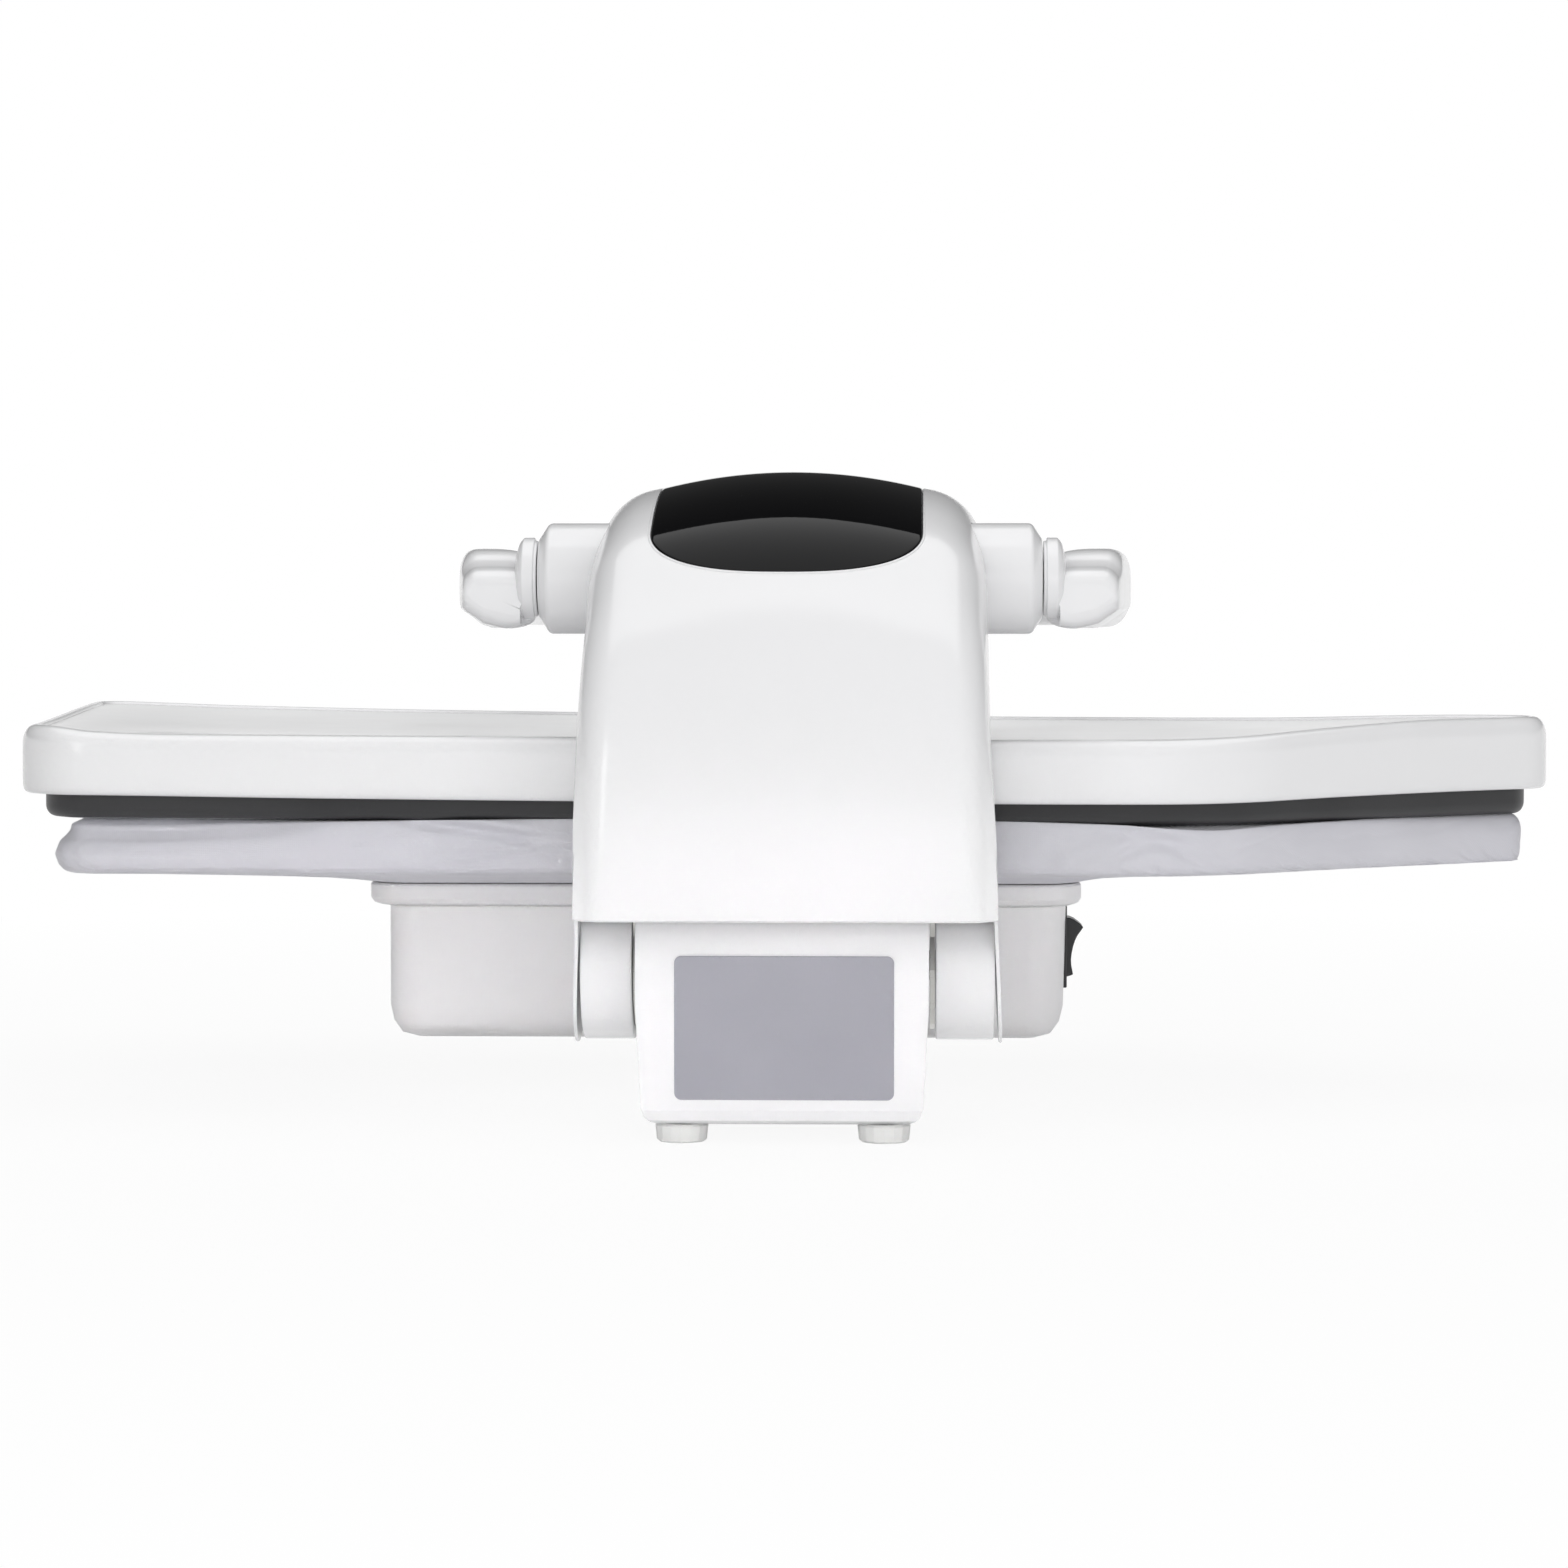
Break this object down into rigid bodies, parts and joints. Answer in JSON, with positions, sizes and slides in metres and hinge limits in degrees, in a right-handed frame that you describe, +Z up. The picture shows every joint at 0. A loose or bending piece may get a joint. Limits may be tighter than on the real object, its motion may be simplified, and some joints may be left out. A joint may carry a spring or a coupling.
{
  "type": "steam ironing press",
  "caption": "Steam ironing press: padded board on a raised base, hinged arm with a U-shaped handle that presses a heated plate onto the board.",
  "frame": {"origin": "on the table, under the middle of the press's bounding box, with the press closed", "axes": "+Z up; the operator stands on the -Y side; the hinge and the rear box are on the +Y side; the plate runs along X with its nose at -X"},
  "size_m": [0.6676, 0.43, 0.2675],
  "materials": {
    "white_abs": "glossy moulded ABS",
    "black_glass": "polished black acrylic",
    "black_resin": "satin black heat-proof resin",
    "pad_cloth": "silver-lavender woven cover",
    "zinc_steel": "zinc-plated pressed steel",
    "cast_aluminium": "satin cast aluminium",
    "brass": "turned brass",
    "white_rubber": "matt white rubber",
    "circuit_board": "green circuit board",
    "tank_smoke": "pale smoke-tinted tank plastic"
  },
  "bodies": {
    "base": {"base_shell": "white_abs", "base_deck": "white_abs", "base_pan": "white_abs", "hinge_housing": "white_abs", "foot_rear_left": "white_rubber", "foot_rear_right": "white_rubber", "foot_front_left": "white_rubber", "foot_front_right": "white_rubber", "board_plate": "cast_aluminium", "board_pad": "pad_cloth", "cover_hem": "pad_cloth", "hinge_shaft": "zinc_steel", "switch_bezel": "black_resin", "cord_gland": "black_resin", "water_pump": "black_resin", "control_board": "circuit_board"},
    "arm": {"arm_cover": "white_abs", "control_panel": "black_glass", "display_board": "circuit_board", "arm_frame": "zinc_steel", "hinge_barrel_left": "white_abs", "hinge_barrel_right": "white_abs", "torsion_spring_left": "zinc_steel", "torsion_spring_right": "zinc_steel", "pivot_boss_left": "white_abs", "pivot_boss_right": "white_abs", "pivot_bush_left": "brass", "pivot_bush_right": "brass"},
    "handle": {"handle_bar": "white_abs", "handle_hub_left": "white_abs", "handle_hub_right": "white_abs", "press_shaft": "zinc_steel", "press_crank_left": "zinc_steel", "press_crank_right": "zinc_steel"},
    "plate": {"plate_cover": "white_abs", "heat_shield": "black_resin", "heating_plate": "cast_aluminium", "heating_element": "zinc_steel", "thermostat": "zinc_steel", "plate_carrier": "zinc_steel", "guide_rod_left": "zinc_steel", "guide_rod_right": "zinc_steel"},
    "rocker": {"power_rocker": "black_resin"},
    "tank": {"water_tank": "tank_smoke", "tank_front": "white_abs", "tank_plug": "white_rubber"},
    "button": {"steam_button": "black_resin"}
  },
  "joints": [
    {"name": "arm_hinge", "type": "hinge", "parent": "base", "child": "arm", "pos_m": [-0.0044, 0.155, 0.067], "axis": [-1, 0, 0], "range_deg": [0, 50]},
    {"name": "handle_pivot", "type": "hinge", "parent": "arm", "child": "handle", "pos_m": [-0.0044, 0.09, 0.2225], "axis": [-1, 0, 0], "range_deg": [0, 30]},
    {"name": "plate_press", "type": "slide", "parent": "arm", "child": "plate", "axis": [0, 0, 1], "range_m": [0, 0.008]},
    {"name": "rocker_tilt", "type": "hinge", "parent": "base", "child": "rocker", "pos_m": [-0.1174, -0.01, 0.062], "axis": [0, 1, 0], "range_deg": [0, 24]},
    {"name": "tank_slide", "type": "slide", "parent": "base", "child": "tank", "axis": [0, -1, 0], "range_m": [0, 0.112]},
    {"name": "button_press", "type": "slide", "parent": "handle", "child": "button", "axis": [0, 0, -1], "range_m": [0, 0.0025], "stiffness_N_per_m": 400, "springref_m": -0.002}
  ],
  "couplings": [
    {"joint": "plate_press", "follows": "handle_pivot", "m_per_rad": 0.01527}
  ]
}
